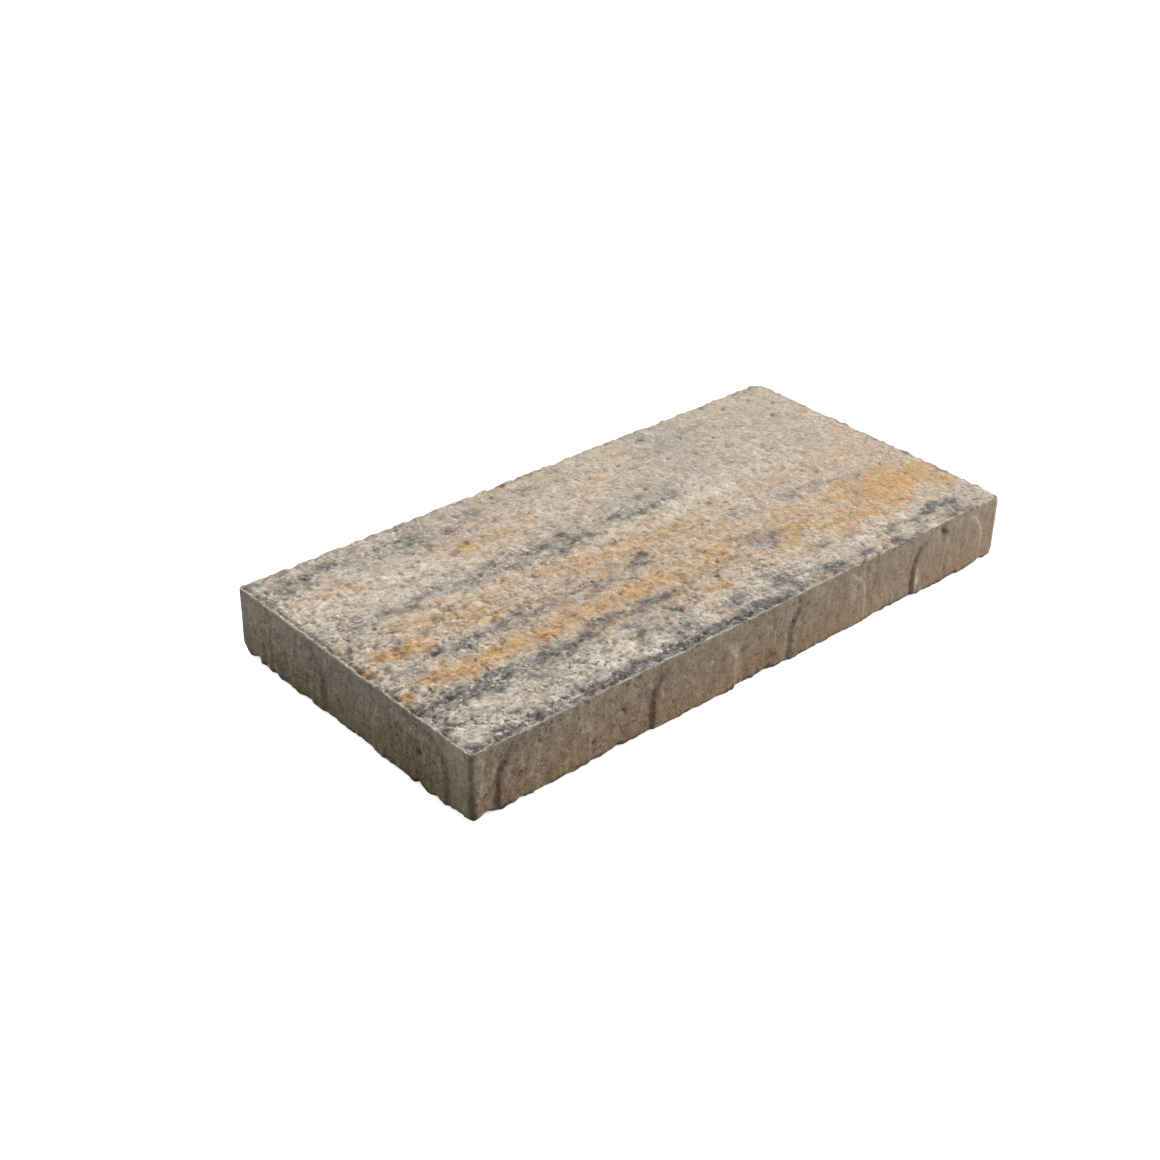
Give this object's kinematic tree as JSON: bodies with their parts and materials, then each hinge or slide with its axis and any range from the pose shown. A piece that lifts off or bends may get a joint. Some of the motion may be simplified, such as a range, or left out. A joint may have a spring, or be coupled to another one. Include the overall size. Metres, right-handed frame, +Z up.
{
  "type": "concrete paver",
  "caption": "Rectangular pressed concrete paving slab with cast-on spacer pads round its sides and a streaked, open-grained walking face.",
  "frame": {"origin": "centre of the bed face, the underside that the slab lies on", "axes": "+X along the slab's length, +Y across its width, +Z up out of the walking face"},
  "size_m": [0.6, 0.3, 0.06],
  "materials": {
    "concrete": "pressed concrete, coarse open grain, streaked in cream, ochre and charcoal on the walking face"
  },
  "bodies": {
    "root": {"paver": "concrete"}
  },
  "joints": []
}
